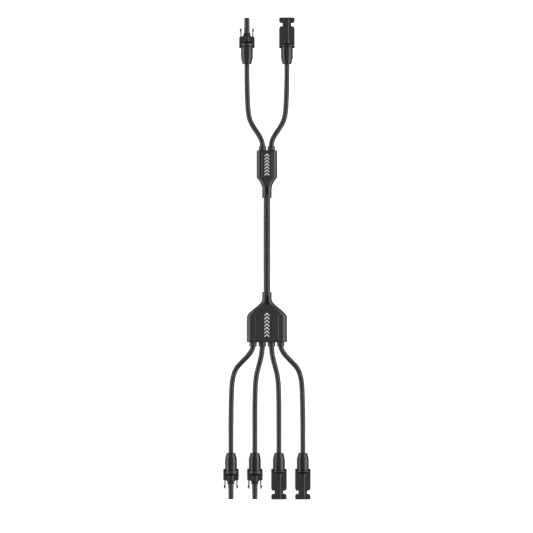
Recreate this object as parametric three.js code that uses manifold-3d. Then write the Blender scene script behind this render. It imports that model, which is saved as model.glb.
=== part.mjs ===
// A parallel branch harness for solar panels. Two short leads, one ending in a probe connector and one in a
// socket connector, meet in a small moulded junction. A trunk cable joins it to a larger junction, which
// splits into four leads with two probe and two socket connectors.
//
// Millimetres. The harness lies flat on the plane z = 0, centred on the origin: +Y points at the two single
// connectors, -Y at the four branch connectors, and the probe connectors are on the -X side.
// Inside a connector, u is the distance from its mating tip towards its cable, and local y is -u.

import * as THREE from 'three';
import { mergeVertices } from 'three/addons/utils/BufferGeometryUtils.js';
import Module from 'manifold-3d';

const wasm = await Module();
wasm.setup();

// Layout of the harness
const TIP_Y = 293.8;
const AXIS_Z = 7.35;
const SINGLE_X = 24.4;
const BRANCH_INNER_X = 14.7;
const BRANCH_OUTER_X = 43.9;

// Clearance between pieces, the chamfer on small edges, and how far a cut runs past the face it opens
const GAP = 0.3;
const EDGE = 0.5;
const PAST = 1;

// Cables
const LEAD_R = 3.1;
const TRUNK_R = 4.1;
const CABLE_BORE_R = LEAD_R + GAP + 0.05;
const CABLE_END_U = 34.7;
const CABLE_SIDES = 8;

// Connector housings: a flat plate on a round core, with a ring and a sleeve behind for the cap nut
const PLATE_HALF_W = 9.45;
const PLATE_HALF_T = 4.5;
const CORE_R = 5.25;
const FLARE_R = 6.0;
const RING_R = AXIS_Z;
const RING_REAR_U = 35.1;
const WING_REAR_U = 36.9;
const SLEEVE_R = 5.5;
const SLEEVE_REAR_U = 44;
const SEAL_SEAT_U = 37;
const SEAL_SEAT_R = 4.8;
const CONTACT_BORE_R = 2.75;
const CRIMP_R = 2.0;
const ARCH_R = 11.4;
const ARCH_DEPTH = 2.4;
const ARCH_FLOOR_Z = 3.2;

// Probe connector
const PROBE_R = 3.25;
const PROBE_MOUTH_R = 2.3;
const PROBE_MOUTH_REAR_U = 3;
const PROBE_BORE_U = 1.5;
const PROBE_SHOULDER_R = 4.2;
const PROBE_FLARE_LENGTH = 4.4;
const SEAL_RING_FRONT_U = 18.6;
const SEAL_RING_REAR_U = 20.8;
const SEAL_RING_R = 4.45;
const COLLAR_U = 23;
const COLLAR_CHAMFER = 1.2;
const PROBE_RING_FRONT_U = 31.4;

// Latch fingers of the probe connector
const LATCH_TIP_U = 12.5;
const LATCH_HOOK_U = 16.6;
const LATCH_ROOT_U = 26.2;
const LATCH_INNER_X = 6.5;
const LATCH_OUTER_X = 8;
const LATCH_HOOK_X = 9;
const LATCH_HALF_T = 2.6;
const LATCH_LEAD_IN = 0.6;
const HOOK_LAND_FRONT_U = 15.2;
const HOOK_LAND_REAR_U = 16;

// Socket connector
const CROSSBAR_HALF_W = 9.4;
const CROSSBAR_REAR_U = 6.3;
const CROSSBAR_CHAMFER = 1.4;
const NOTCH_REAR_U = 10.65;
const BODY_CHAMFER_W = 1.4;
const BODY_CHAMFER_LENGTH = 2.3;
const SOCKET_FLARE_LENGTH = 6.4;
const SOCKET_MOUTH_R = 4.55;
const SOCKET_BORE_R = 3.45;
const SOCKET_BORE_U = 24;
const SOCKET_BORE_CHAMFER = 0.8;
const CHANNEL_INNER_X = 5.5;
const CHANNEL_OUTER_X = 8.2;
const CHANNEL_HALF_T = 3.0;
const SOCKET_RING_FRONT_U = 33.5;

// Contacts: a pin, and a tube that receives the other connector's pin
const PIN_R = 2;
const PIN_TIP_U = 9;
const PIN_TIP_R = 1.1;
const PIN_TIP_LENGTH = 1.6;
const PIN_SHOULDER_LENGTH = 1.6;
const TUBE_TIP_U = 2.2;
const TUBE_BOTTOM_U = 17;
const TUBE_REAR_U = 19;
const CONTACT_R = CONTACT_BORE_R - GAP;
const CONTACT_END_U = CABLE_END_U - 2 * GAP;

// Cap nut, clamp collet and gland seal
const NUT_FRONT_U = RING_REAR_U + GAP;
const NUT_TAPER_U = 49;
const NUT_REAR_U = 56.5;
const NUT_R = 7.25;
const NUT_BORE_R = SLEEVE_R + 0.4;
const NUT_TAPER_END_U = 55.8;
const NUT_TAPER_END_R = 5.65;
const NUT_MOUTH_R = 4.85;
const NUT_CONE_LENGTH = 0.9;
const COLLET_FRONT_U = SLEEVE_REAR_U + GAP;
const COLLET_REAR_U = 52.4;
const COLLET_RING_REAR_U = 46.6;
const COLLET_INNER_R = CABLE_BORE_R + 0.1;
const COLLET_END_R = COLLET_INNER_R + 0.8;
const COLLET_SLOT = 1.1;

// Junction mouldings: each tapers from a round neck to a body with round sides
const NECK_R = 5.85;
const NECK_BORE_R = TRUNK_R + GAP;
const NECK_EDGE = 0.7;
const JUNCTION_EDGE = 1.2;
const BOSS_R = 4.45;
const BOSS_BORE_R = 3.75;

// Facets round a turned piece
const HOUSING_SIDES = 16;
const NUT_SIDES = 16;
const JUNCTION_SIDES = 20;
const SMALL_SIDES = 12;

const materials = {
  housing: new THREE.MeshStandardMaterial({ color: 0x2e3033, roughness: 0.5, metalness: 0 }),
  latch: new THREE.MeshStandardMaterial({ color: 0x35373a, roughness: 0.5, metalness: 0 }),
  nut: new THREE.MeshStandardMaterial({ color: 0x323437, roughness: 0.42, metalness: 0 }),
  junction: new THREE.MeshStandardMaterial({ color: 0x303235, roughness: 0.48, metalness: 0 }),
  jacket: new THREE.MeshStandardMaterial({ color: 0x2f3133, roughness: 0.55, metalness: 0 }),
  seal: new THREE.MeshStandardMaterial({ color: 0x1c1d1f, roughness: 0.7, metalness: 0 }),
  collet: new THREE.MeshStandardMaterial({ color: 0x4a4c4f, roughness: 0.5, metalness: 0 }),
  contact: new THREE.MeshStandardMaterial({ color: 0xb9bcc0, roughness: 0.3, metalness: 1 }),
  carrier: new THREE.MeshStandardMaterial({ color: 0x55585c, roughness: 0.6, metalness: 0 }),
};

// Solids

function solidOf(geometry) {
  geometry.deleteAttribute('normal');
  geometry.deleteAttribute('uv');
  const merged = mergeVertices(geometry, 1e-4);
  const corners = merged.index.array;
  const triVerts = [];
  for (let i = 0; i < corners.length; i += 3) {
    const [a, b, c] = corners.slice(i, i + 3);
    const degenerate = a === b || b === c || c === a;
    if (!degenerate) {
      triVerts.push(a, b, c);
    }
  }
  return new wasm.Manifold(new wasm.Mesh({
    numProp: 3,
    vertProperties: Float32Array.from(merged.attributes.position.array),
    triVerts: Uint32Array.from(triVerts),
  }));
}

function geometryOf(solid) {
  const mesh = solid.getMesh();
  const geometry = new THREE.BufferGeometry();
  geometry.setAttribute('position', new THREE.BufferAttribute(mesh.vertProperties, 3));
  geometry.setIndex(new THREE.BufferAttribute(mesh.triVerts, 1));
  geometry.computeVertexNormals();
  return geometry;
}

function join(solids) {
  return solids.reduce((whole, solid) => whole.add(solid));
}

// A turned solid about the connector's axis. The profile is [radius, u] points from front to back along the
// outside; it starts and ends on the axis or is closed by coming back along the inside.
function turned(profile, sides) {
  const points = profile.map(([radius, u]) => new THREE.Vector2(radius, -u)).reverse();
  return solidOf(new THREE.LatheGeometry(points, sides));
}

function ring(profile, sides) {
  return turned([...profile, profile[0]], sides);
}

function rod(radius, frontU, rearU, sides) {
  return turned([[0, frontU], [radius, frontU], [radius, rearU], [0, rearU]], sides);
}

// A flat plate from an outline of [x, y] points
function plate(outline, lowZ, highZ) {
  const shape = new THREE.Shape(outline.map(([x, y]) => new THREE.Vector2(x, y)));
  const geometry = new THREE.ExtrudeGeometry(shape, { depth: highZ - lowZ, bevelEnabled: false });
  geometry.translate(0, 0, lowZ);
  return solidOf(geometry);
}

// A block between two corners, with y as it is
function block([lowX, lowY, lowZ], [highX, highY, highZ]) {
  const geometry = new THREE.BoxGeometry(highX - lowX, highY - lowY, highZ - lowZ);
  geometry.translate((lowX + highX) / 2, (lowY + highY) / 2, (lowZ + highZ) / 2);
  return solidOf(geometry);
}

// A block in a connector, between two distances from the tip
function blockU(lowX, highX, frontU, rearU, halfT) {
  return block([lowX, -rearU, -halfT], [highX, -frontU, halfT]);
}

// A round tube along a curve
function tubeAlong(points, radius, steps) {
  const places = points.map((point) => new THREE.Vector3(...point));
  const curve = new THREE.CatmullRomCurve3(places, false, 'centripetal');
  const section = new THREE.Shape();
  for (let i = 0; i < CABLE_SIDES; i += 1) {
    const angle = (2 * Math.PI * i) / CABLE_SIDES;
    const corner = [radius * Math.cos(angle), radius * Math.sin(angle)];
    if (i === 0) {
      section.moveTo(...corner);
    } else {
      section.lineTo(...corner);
    }
  }
  return solidOf(new THREE.ExtrudeGeometry(section, { steps, extrudePath: curve, bevelEnabled: false }));
}

function piece(name, solid, material) {
  const mesh = new THREE.Mesh(geometryOf(solid), material);
  mesh.name = name;
  return mesh;
}

// Connector housings

// The right-hand half outline, mirrored to the left
function mirrored(halfOutline) {
  const left = halfOutline.map(([x, y]) => [-x, y]).reverse();
  return [...halfOutline, ...left];
}

// The arched slot in both flats in front of the ring, with a flat floor above the contact's bore
function archRecess(ringFrontU) {
  const outline = [];
  const centreU = ringFrontU - ARCH_DEPTH + ARCH_R;
  const reach = Math.acos((ARCH_R - ARCH_DEPTH) / ARCH_R);
  const steps = 6;
  for (let i = 0; i <= steps; i += 1) {
    const angle = reach * ((2 * i) / steps - 1);
    outline.push([ARCH_R * Math.sin(angle), -(centreU - ARCH_R * Math.cos(angle))]);
  }
  const upper = plate(outline, ARCH_FLOOR_Z, RING_R);
  const lower = plate(outline, -RING_R, -ARCH_FLOOR_Z);
  return upper.add(lower);
}

// The ring and the threaded sleeve that the cap nut screws on
function rearSleeve(ringFrontU) {
  return turned([
    [0, ringFrontU],
    [RING_R - EDGE, ringFrontU],
    [RING_R, ringFrontU + EDGE],
    [RING_R, RING_REAR_U - EDGE],
    [RING_R - EDGE, RING_REAR_U],
    [SLEEVE_R, RING_REAR_U],
    [SLEEVE_R, SLEEVE_REAR_U],
    [0, SLEEVE_REAR_U],
  ], HOUSING_SIDES);
}

// The bore for the crimped contact, the cable and the gland seal, open at the back
function rearBore(frontU) {
  return turned([
    [0, frontU],
    [CONTACT_BORE_R, frontU],
    [CONTACT_BORE_R, CABLE_END_U - GAP],
    [CABLE_BORE_R, CABLE_END_U - GAP],
    [CABLE_BORE_R, SEAL_SEAT_U],
    [SEAL_SEAT_R, SEAL_SEAT_U],
    [SEAL_SEAT_R, SLEEVE_REAR_U + PAST],
    [0, SLEEVE_REAR_U + PAST],
  ], HOUSING_SIDES);
}

// The plate's wings reach back beside the nut, so room for the nut is cut between them
function nutRoom() {
  return rod(NUT_R + 2 * GAP, RING_REAR_U, WING_REAR_U + PAST, NUT_SIDES);
}

function finishHousing(front, ringFrontU, boreFrontU) {
  return front
    .subtract(archRecess(ringFrontU))
    .subtract(nutRoom())
    .add(rearSleeve(ringFrontU))
    .subtract(rearBore(boreFrontU));
}

function probeHousing() {
  const core = turned([
    [0, 0],
    [PROBE_R - EDGE, 0],
    [PROBE_R, EDGE],
    [PROBE_R, SEAL_RING_REAR_U + GAP],
    [PROBE_SHOULDER_R, SEAL_RING_REAR_U + GAP],
    [CORE_R, COLLAR_U],
    [CORE_R, PROBE_RING_FRONT_U - PROBE_FLARE_LENGTH],
    [FLARE_R, PROBE_RING_FRONT_U],
    [0, PROBE_RING_FRONT_U],
  ], HOUSING_SIDES);
  const collar = plate(mirrored([
    [PLATE_HALF_W - COLLAR_CHAMFER, -COLLAR_U],
    [PLATE_HALF_W, -COLLAR_U - COLLAR_CHAMFER],
    [PLATE_HALF_W, -WING_REAR_U],
  ]), -PLATE_HALF_T, PLATE_HALF_T);
  const pocket = (side) => {
    const inner = side * (LATCH_INNER_X - 2 * GAP);
    const outer = side * (LATCH_OUTER_X + GAP);
    const [lowX, highX] = [Math.min(inner, outer), Math.max(inner, outer)];
    return blockU(lowX, highX, COLLAR_U - PAST, LATCH_ROOT_U + GAP, LATCH_HALF_T + GAP);
  };
  const mouth = rod(PROBE_MOUTH_R, -PAST, PROBE_MOUTH_REAR_U, HOUSING_SIDES);
  return finishHousing(core.add(collar), PROBE_RING_FRONT_U, PROBE_BORE_U)
    .subtract(mouth)
    .subtract(pocket(1))
    .subtract(pocket(-1));
}

function socketHousing() {
  const core = turned([
    [0, 0],
    [CORE_R, 0],
    [CORE_R, SOCKET_RING_FRONT_U - SOCKET_FLARE_LENGTH],
    [FLARE_R, SOCKET_RING_FRONT_U],
    [0, SOCKET_RING_FRONT_U],
  ], HOUSING_SIDES);
  const body = plate(mirrored([
    [CROSSBAR_HALF_W - EDGE, 0],
    [CROSSBAR_HALF_W, -EDGE],
    [CROSSBAR_HALF_W, -CROSSBAR_REAR_U + CROSSBAR_CHAMFER],
    [CROSSBAR_HALF_W - CROSSBAR_CHAMFER, -CROSSBAR_REAR_U],
    [CORE_R, -CROSSBAR_REAR_U],
    [CORE_R, -NOTCH_REAR_U],
    [PLATE_HALF_W - BODY_CHAMFER_W, -NOTCH_REAR_U],
    [PLATE_HALF_W, -NOTCH_REAR_U - BODY_CHAMFER_LENGTH],
    [PLATE_HALF_W, -WING_REAR_U],
  ]), -PLATE_HALF_T, PLATE_HALF_T);
  const bore = turned([
    [0, -PAST],
    [SOCKET_MOUTH_R, -PAST],
    [SOCKET_MOUTH_R, CROSSBAR_REAR_U - SOCKET_BORE_CHAMFER],
    [SOCKET_BORE_R, CROSSBAR_REAR_U],
    [SOCKET_BORE_R, SOCKET_BORE_U],
    [0, SOCKET_BORE_U],
  ], HOUSING_SIDES);
  const channelEnds = [-PAST, CROSSBAR_REAR_U + PAST];
  const rightChannel = blockU(CHANNEL_INNER_X, CHANNEL_OUTER_X, ...channelEnds, CHANNEL_HALF_T);
  const leftChannel = blockU(-CHANNEL_OUTER_X, -CHANNEL_INNER_X, ...channelEnds, CHANNEL_HALF_T);
  return finishHousing(core.add(body), SOCKET_RING_FRONT_U, SOCKET_BORE_U - PAST)
    .subtract(bore)
    .subtract(rightChannel)
    .subtract(leftChannel);
}

// A sprung finger with an outward hook; side is 1 for the right finger and -1 for the left
function latchFinger(side) {
  const outline = [
    [LATCH_INNER_X, -LATCH_TIP_U - EDGE],
    [LATCH_INNER_X + LATCH_LEAD_IN, -LATCH_TIP_U],
    [LATCH_HOOK_X, -HOOK_LAND_FRONT_U],
    [LATCH_HOOK_X, -HOOK_LAND_REAR_U],
    [LATCH_OUTER_X, -LATCH_HOOK_U],
    [LATCH_OUTER_X, -LATCH_ROOT_U],
    [LATCH_INNER_X, -LATCH_ROOT_U],
  ];
  return plate(outline.map(([x, y]) => [side * x, y]), -LATCH_HALF_T, LATCH_HALF_T);
}

// The rubber ring that seals the probe in the socket's mouth
function sealRing() {
  const innerR = PROBE_R + GAP;
  const middleR = (SEAL_RING_R + innerR) / 2;
  const middleU = (SEAL_RING_FRONT_U + SEAL_RING_REAR_U) / 2;
  const halfHeight = (SEAL_RING_R - innerR) / 2;
  const halfLength = (SEAL_RING_REAR_U - SEAL_RING_FRONT_U) / 2;
  const corners = 6;
  const profile = [];
  for (let i = 0; i < corners; i += 1) {
    const angle = (2 * Math.PI * (i + 0.5)) / corners;
    profile.push([middleR + halfHeight * Math.sin(angle), middleU - halfLength * Math.cos(angle)]);
  }
  return ring(profile, HOUSING_SIDES);
}

// Contacts, crimped on the stripped cable end

function contactSocket() {
  const receivingR = PIN_R + 0.05;
  return turned([
    [0, TUBE_BOTTOM_U],
    [receivingR, TUBE_BOTTOM_U],
    [receivingR, TUBE_TIP_U],
    [CONTACT_R, TUBE_TIP_U],
    [CONTACT_R, TUBE_REAR_U],
    [CRIMP_R, TUBE_REAR_U + EDGE],
    [CRIMP_R, CONTACT_END_U],
    [0, CONTACT_END_U],
  ], SMALL_SIDES);
}

function contactPin() {
  const shoulderU = SOCKET_BORE_U + GAP;
  return turned([
    [0, PIN_TIP_U],
    [PIN_TIP_R, PIN_TIP_U],
    [PIN_R, PIN_TIP_U + PIN_TIP_LENGTH],
    [PIN_R, shoulderU],
    [CONTACT_R, shoulderU],
    [CONTACT_R, shoulderU + PIN_SHOULDER_LENGTH],
    [CRIMP_R, shoulderU + PIN_SHOULDER_LENGTH + EDGE],
    [CRIMP_R, CONTACT_END_U],
    [0, CONTACT_END_U],
  ], SMALL_SIDES);
}

// Cable gland

function glandSeal() {
  const outerR = SEAL_SEAT_R - GAP;
  return ring([
    [CABLE_BORE_R, SEAL_SEAT_U + GAP],
    [outerR, SEAL_SEAT_U + GAP],
    [outerR, SLEEVE_REAR_U - GAP],
    [CABLE_BORE_R, SLEEVE_REAR_U - GAP],
  ], SMALL_SIDES);
}

// A split ring whose fingers the nut's cone presses on the cable
function clampCollet() {
  const frontR = NUT_BORE_R - 2 * GAP;
  const body = ring([
    [COLLET_INNER_R, COLLET_FRONT_U],
    [frontR, COLLET_FRONT_U],
    [frontR, COLLET_RING_REAR_U],
    [COLLET_END_R, COLLET_REAR_U],
    [COLLET_INNER_R, COLLET_REAR_U],
  ], SMALL_SIDES);
  const half = COLLET_SLOT / 2;
  const reach = frontR + PAST;
  const backY = -COLLET_REAR_U - PAST;
  const slotX = block([-reach, backY, -half], [reach, -COLLET_RING_REAR_U, half]);
  const slotZ = block([-half, backY, -reach], [half, -COLLET_RING_REAR_U, reach]);
  return body.subtract(slotX.add(slotZ));
}

function capNut() {
  return ring([
    [NUT_BORE_R, NUT_FRONT_U],
    [NUT_R - EDGE, NUT_FRONT_U],
    [NUT_R, NUT_FRONT_U + EDGE],
    [NUT_R, NUT_TAPER_U],
    [NUT_TAPER_END_R, NUT_TAPER_END_U],
    [NUT_MOUTH_R, NUT_REAR_U],
    [COLLET_INNER_R, NUT_REAR_U],
    [COLLET_INNER_R, COLLET_REAR_U + NUT_CONE_LENGTH],
    [COLLET_END_R + GAP, COLLET_REAR_U + NUT_CONE_LENGTH],
    [NUT_BORE_R, COLLET_RING_REAR_U + NUT_CONE_LENGTH],
  ], NUT_SIDES);
}

// One whole connector, with its tip at (x, facing * TIP_Y); facing is 1 towards +Y and -1 towards -Y
function connector(name, kind, x, facing) {
  const group = new THREE.Group();
  group.position.set(x, facing * TIP_Y, AXIS_Z);
  group.rotation.z = facing > 0 ? 0 : Math.PI;
  if (kind === 'probe') {
    group.add(piece(`${name}_housing`, probeHousing(), materials.housing));
    group.add(piece(`${name}_latch_left`, latchFinger(-1), materials.latch));
    group.add(piece(`${name}_latch_right`, latchFinger(1), materials.latch));
    group.add(piece(`${name}_seal_ring`, sealRing(), materials.seal));
    group.add(piece(`${name}_contact_socket`, contactSocket(), materials.contact));
  } else {
    group.add(piece(`${name}_housing`, socketHousing(), materials.housing));
    group.add(piece(`${name}_contact_pin`, contactPin(), materials.contact));
  }
  group.add(piece(`${name}_gland_seal`, glandSeal(), materials.seal));
  group.add(piece(`${name}_clamp_collet`, clampCollet(), materials.collet));
  group.add(piece(`${name}_cap_nut`, capNut(), materials.nut));
  return group;
}

// Junctions. They are made in the harness's own x and y, with z measured from the cables' axis.

const topJunction = {
  name: 'top_junction',
  axisZ: 6.3,
  neckEndY: 73.9,
  flareStartY: 84,
  flareEndY: 98.6,
  bodyEndY: 132,
  bossEndY: 137.3,
  halfWidth: 12.6,
  bossXs: [-5.4, 5.4],
  slot: { halfWidth: 1.5, fromY: 78, toY: 88 },
  cavity: { halfWidth: 9, halfHeight: 4.2, fromY: 100, toY: 128 },
  // The body widens from the neck along a parabola, and keeps a sharp shoulder
  flare: (t) => t * t,
};

const branchJunction = {
  name: 'branch_junction',
  axisZ: AXIS_Z,
  neckEndY: -40.9,
  flareStartY: -49.5,
  flareEndY: -72,
  bodyEndY: -102.2,
  bossEndY: -107.5,
  halfWidth: 24.6,
  bossXs: [-16.9, -5.6, 5.6, 16.9],
  slot: { halfWidth: 2.1, fromY: -45, toY: -56.5 },
  cavity: { halfWidth: 20.5, halfHeight: 5, fromY: -72.5, toY: -98 },
  // The body widens from the neck in a smooth S
  flare: (t) => t * t * (3 - 2 * t),
};

// Half width and half thickness of a junction at one y
function junctionSection(junction, y) {
  const along = (y - junction.flareStartY) / (junction.flareEndY - junction.flareStartY);
  const widening = junction.flare(Math.min(Math.max(along, 0), 1));
  return {
    halfWidth: NECK_R + (junction.halfWidth - NECK_R) * widening,
    halfThickness: NECK_R + (junction.axisZ - NECK_R) * widening,
  };
}

// A turned shape whose two halves are moved apart, which makes flats above and below and keeps the sides
// round
function junctionOutside(junction) {
  const towards = Math.sign(junction.bodyEndY);
  const stations = [
    { y: junction.neckEndY, inset: NECK_EDGE },
    { y: junction.neckEndY + NECK_EDGE * towards, inset: 0 },
  ];
  const flareSteps = 8;
  for (let i = 0; i <= flareSteps; i += 1) {
    const y = junction.flareStartY + ((junction.flareEndY - junction.flareStartY) * i) / flareSteps;
    stations.push({ y, inset: 0 });
  }
  stations.push({ y: junction.bodyEndY - JUNCTION_EDGE * towards, inset: 0 });
  stations.push({ y: junction.bodyEndY, inset: JUNCTION_EDGE });

  const facet = Math.PI / JUNCTION_SIDES;
  const ordered = towards > 0 ? stations : stations.reverse();
  const profile = ordered.map(({ y, inset }) => {
    const radius = junctionSection(junction, y).halfThickness - inset;
    return new THREE.Vector2(radius / Math.cos(facet), y);
  });
  profile.unshift(new THREE.Vector2(0, profile[0].y));
  profile.push(new THREE.Vector2(0, profile[profile.length - 1].y));
  const geometry = new THREE.LatheGeometry(profile, JUNCTION_SIDES, facet);
  const position = geometry.attributes.position;
  for (let i = 0; i < position.count; i += 1) {
    const section = junctionSection(junction, position.getY(i));
    const x = position.getX(i);
    const onAxis = Math.abs(x) < 1e-6;
    if (!onAxis) {
      position.setX(i, x + Math.sign(x) * (section.halfWidth - section.halfThickness));
    }
  }
  return solidOf(geometry);
}

// A rod along Y between two heights
function rodY(radius, x, fromY, toY, sides) {
  const geometry = new THREE.CylinderGeometry(radius, radius, Math.abs(toY - fromY), sides);
  geometry.translate(x, (fromY + toY) / 2, 0);
  return solidOf(geometry);
}

function junctionBody(junction) {
  const { slot, cavity, bossEndY, neckEndY } = junction;
  const towards = Math.sign(bossEndY);
  const bosses = junction.bossXs.map((x) => rodY(BOSS_R, x, cavity.toY, bossEndY, HOUSING_SIDES));
  const past = PAST * towards;
  const bossBores = junction.bossXs.map((x) => {
    return rodY(BOSS_BORE_R, x, cavity.toY - past, bossEndY + past, SMALL_SIDES);
  });
  const neckBore = rodY(NECK_BORE_R, 0, neckEndY - past, cavity.fromY + past, SMALL_SIDES);
  const hollow = block(
    [-cavity.halfWidth, Math.min(cavity.fromY, cavity.toY), -cavity.halfHeight],
    [cavity.halfWidth, Math.max(cavity.fromY, cavity.toY), cavity.halfHeight],
  );
  const reliefSlot = block(
    [-slot.halfWidth, Math.min(slot.fromY, slot.toY), -2 * NECK_R],
    [slot.halfWidth, Math.max(slot.fromY, slot.toY), 2 * NECK_R],
  );
  return join([junctionOutside(junction), ...bosses])
    .subtract(join([hollow, neckBore, reliefSlot, ...bossBores]));
}

const TRAY_THICKNESS = 0.7;
const RIB_THICKNESS = 1.2;
const RIB_SETBACK = 5;

// The insulating tray in the junction, whose rib keeps the two polarities apart
function spliceCarrier(junction) {
  const { cavity } = junction;
  const towards = Math.sign(cavity.toY);
  const halfWidth = cavity.halfWidth - GAP;
  const floorZ = -cavity.halfHeight + GAP;
  const trayZ = floorZ + TRAY_THICKNESS;
  const ribZ = cavity.halfHeight - GAP;
  const nearY = cavity.fromY + EDGE * towards;
  const ribY = cavity.fromY + RIB_SETBACK * towards;
  const farY = cavity.toY - EDGE * towards;
  const tray = block(
    [-halfWidth, Math.min(nearY, farY), floorZ],
    [halfWidth, Math.max(nearY, farY), trayZ],
  );
  const rib = block(
    [-RIB_THICKNESS / 2, Math.min(ribY, farY), floorZ],
    [RIB_THICKNESS / 2, Math.max(ribY, farY), ribZ],
  );
  return tray.add(rib);
}

const CORE_WIRE_R = 1.35;
const TRUNK_CORE_X = 1.8;
const CORE_WIRE_STEPS = 6;
const BARREL_R = 2.1;
const BARREL_FROM_Y = 110;
const BARREL_TO_Y = 125.7;
const BAR_INNER_X = 3.4;
const BAR_OUTER_X = 19.2;
const BAR_HALF_T = 2.1;
const BAR_NEAR_Y = -89;
const BAR_FAR_Y = -96.2;

// A butt crimp on one lead of the top junction, with the trunk's core in its other end
function buttSplice(side) {
  const leadX = side * Math.max(...topJunction.bossXs);
  const barrel = rodY(BARREL_R, leadX, BARREL_FROM_Y, BARREL_TO_Y, SMALL_SIDES);
  const core = tubeAlong([
    [leadX, BARREL_FROM_Y + PAST, 0],
    [leadX, 108.5, 0],
    [side * 3.6, 104.5, 0],
    [side * TRUNK_CORE_X, 101.8, 0],
    [side * TRUNK_CORE_X, 100.1, 0],
  ], CORE_WIRE_R, CORE_WIRE_STEPS);
  return barrel.add(core);
}

// A crimp bar that joins two branch leads of the branch junction to one core of the trunk
function pairSplice(side) {
  const barX = [side * BAR_INNER_X, side * BAR_OUTER_X];
  const bar = block(
    [Math.min(...barX), BAR_FAR_Y, -BAR_HALF_T],
    [Math.max(...barX), BAR_NEAR_Y, BAR_HALF_T],
  );
  const core = tubeAlong([
    [side * 9.5, BAR_NEAR_Y - PAST, 0],
    [side * 9.2, -87, 0],
    [side * 6, -80.5, 0],
    [side * 2.3, -75.4, 0],
    [side * TRUNK_CORE_X, -73.3, 0],
  ], CORE_WIRE_R, CORE_WIRE_STEPS);
  return bar.add(core);
}

function junctionPieces(junction, makeSplice) {
  const group = new THREE.Group();
  group.position.z = junction.axisZ;
  group.add(piece(`${junction.name}_body`, junctionBody(junction), materials.junction));
  group.add(piece(`${junction.name}_splice_carrier`, spliceCarrier(junction), materials.carrier));
  group.add(piece(`${junction.name}_probe_splice`, makeSplice(-1), materials.contact));
  group.add(piece(`${junction.name}_socket_splice`, makeSplice(1), materials.contact));
  return group;
}

// Cables. Each route starts inside its junction, leaves it straight, lies down on the plane z = 0 and rises
// into its connector. A route is for the +X side; side -1 mirrors it.

const LEAD_FLOOR_Z = LEAD_R + 0.03;
const TRUNK_FLOOR_Z = TRUNK_R + 0.03;
const LEAD_END_Y = TIP_Y - CABLE_END_U;

const singleRoute = [
  [5.4, 126, 6.3],
  [5.4, 132, 6.3],
  [5.4, 137.3, 6.3],
  [6.0, 142, 6.1],
  [8.1, 147.5, 5.4],
  [11.6, 153.4, 4.5],
  [15.6, 159.4, 3.65],
  [19.1, 165.4, 3.25],
  [21.5, 172, LEAD_FLOOR_Z],
  [22.8, 180, LEAD_FLOOR_Z],
  [23.5, 190, LEAD_FLOOR_Z],
  [23.9, 199, 3.3],
  [24.15, 208, 4.2],
  [24.3, 217, 6.0],
  [24.4, 224.5, 7.1],
  [24.4, 231, AXIS_Z],
  [24.4, 240, AXIS_Z],
  [24.4, 252, AXIS_Z],
  [24.4, LEAD_END_Y, AXIS_Z],
];

const innerRoute = [
  [5.6, -96.5, AXIS_Z],
  [5.6, -102, AXIS_Z],
  [5.6, -107.5, AXIS_Z],
  [6.1, -113, 7.25],
  [7.0, -119.5, 6.6],
  [8.6, -126.5, 5.45],
  [10.6, -134, 4.2],
  [12.5, -142, 3.45],
  [13.7, -151, LEAD_FLOOR_Z],
  [14.3, -163, LEAD_FLOOR_Z],
  [14.6, -178, LEAD_FLOOR_Z],
  [14.7, -192, 3.25],
  [14.7, -202, 3.7],
  [14.7, -211, 5.1],
  [14.7, -220, 6.8],
  [14.7, -228, AXIS_Z],
  [14.7, -238, AXIS_Z],
  [14.7, -251, AXIS_Z],
  [14.7, -LEAD_END_Y, AXIS_Z],
];

const outerRoute = [
  [16.9, -96.5, AXIS_Z],
  [16.9, -102, AXIS_Z],
  [16.9, -107, AXIS_Z],
  [18.3, -111.6, 7.3],
  [21.6, -116.8, 6.95],
  [26.0, -121.8, 6.3],
  [31.2, -127.1, 5.4],
  [35.9, -132.4, 4.5],
  [39.3, -138.5, 3.75],
  [41.5, -146, 3.35],
  [42.7, -155, LEAD_FLOOR_Z],
  [43.3, -168, LEAD_FLOOR_Z],
  [43.7, -181, LEAD_FLOOR_Z],
  [43.8, -192, 3.25],
  [43.9, -202, 3.7],
  [43.9, -211, 5.1],
  [43.9, -220, 6.8],
  [43.9, -228, AXIS_Z],
  [43.9, -238, AXIS_Z],
  [43.9, -251, AXIS_Z],
  [43.9, -LEAD_END_Y, AXIS_Z],
];

const trunkRoute = [
  [0, 99.8, 6.3],
  [0, 90, 6.3],
  [0, 80, 6.3],
  [0, 72, 6.3],
  [0, 64, 5.9],
  [0, 55, 4.9],
  [0, 46, 4.4],
  [0, 36, TRUNK_FLOOR_Z],
  [0, 24, TRUNK_FLOOR_Z],
  [0, 12, TRUNK_FLOOR_Z],
  [0, 0, TRUNK_FLOOR_Z],
  [0, -9, 4.45],
  [0, -18, 5.1],
  [0, -27, 6.4],
  [0, -35, 7.2],
  [0, -42, AXIS_Z],
  [0, -52, AXIS_Z],
  [0, -62, AXIS_Z],
  [0, -72.8, AXIS_Z],
];

function lead(name, route, side, steps) {
  const points = route.map(([x, y, z]) => [side * x, y, z]);
  return piece(name, tubeAlong(points, LEAD_R, steps), materials.jacket);
}

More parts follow.
